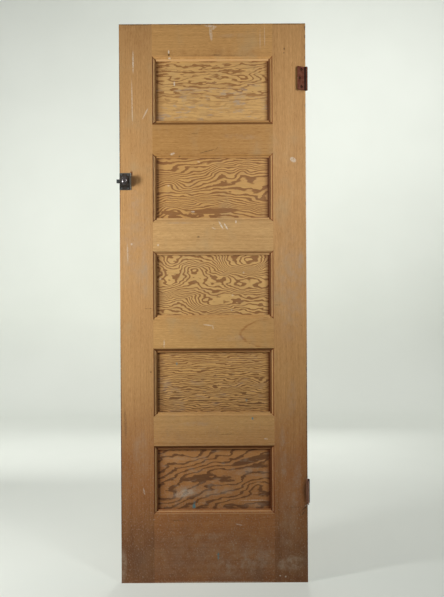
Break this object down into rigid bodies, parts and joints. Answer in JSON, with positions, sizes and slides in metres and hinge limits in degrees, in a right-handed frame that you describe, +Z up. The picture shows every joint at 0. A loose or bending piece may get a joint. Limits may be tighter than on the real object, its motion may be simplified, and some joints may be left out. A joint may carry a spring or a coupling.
{
  "type": "panel door",
  "caption": "Narrow flat-panel wooden door leaf with moulded rails, steel butt hinges and a knob-turned rim latch on its front face.",
  "frame": {"origin": "middle of the bottom edge of the door", "axes": "+X towards the hinged edge, -Y out of the front face, +Z up the door"},
  "size_m": [0.6252, 0.0735, 1.829],
  "materials": {
    "stile_wood": "worn oiled softwood",
    "rail_wood": "worn oiled softwood",
    "panel_wood": "worn oiled softwood",
    "hinge_steel": "rusted",
    "screw_steel": "tarnished",
    "latch_iron": "worn black japan",
    "latch_steel": "tarnished"
  },
  "bodies": {
    "door": {"latch_stile": "stile_wood", "hinge_stile": "stile_wood", "top_rail": "rail_wood", "cross_rail_1": "rail_wood", "cross_rail_2": "rail_wood", "cross_rail_3": "rail_wood", "cross_rail_4": "rail_wood", "bottom_rail": "rail_wood", "panel_1": "panel_wood", "panel_2": "panel_wood", "panel_3": "panel_wood", "panel_4": "panel_wood", "panel_5": "panel_wood", "top_hinge_door_leaf": "hinge_steel", "top_hinge_pin": "hinge_steel", "top_hinge_screws": "screw_steel", "bottom_hinge_door_leaf": "hinge_steel", "bottom_hinge_pin": "hinge_steel", "bottom_hinge_screws": "screw_steel", "latch_case": "latch_iron", "latch_back_plate": "latch_iron", "latch_spring": "latch_steel", "latch_screws": "screw_steel"},
    "top_free_leaf": {"top_hinge_free_leaf": "hinge_steel"},
    "bottom_free_leaf": {"bottom_hinge_free_leaf": "hinge_steel"},
    "knob": {"latch_spindle": "latch_steel", "latch_knob": "latch_iron", "knob_pin": "latch_steel"},
    "bolt": {"latch_bolt": "latch_steel"}
  },
  "joints": [
    {"name": "top_leaf_swing", "type": "hinge", "parent": "door", "child": "top_free_leaf", "pos_m": [0.306, -0.024, 1.646], "axis": [0, 0, -1], "range_deg": [-240, 30]},
    {"name": "bottom_leaf_swing", "type": "hinge", "parent": "door", "child": "bottom_free_leaf", "pos_m": [0.306, -0.024, 0.301], "axis": [0, 0, -1], "range_deg": [-180, 90]},
    {"name": "knob_turn", "type": "hinge", "parent": "door", "child": "knob", "pos_m": [-0.285, -0.0375, 1.314], "axis": [0, 1, 0], "range_deg": [0, 50], "stiffness_Nm_per_rad": 0.3, "springref_deg": -20.05},
    {"name": "bolt_slide", "type": "slide", "parent": "door", "child": "bolt", "axis": [1, 0, 0], "range_m": [0, 0.0081], "deforming": ["latch_spring"]}
  ],
  "couplings": [
    {"joint": "bolt_slide", "follows": "knob_turn", "m_per_rad": 0.0092014}
  ]
}
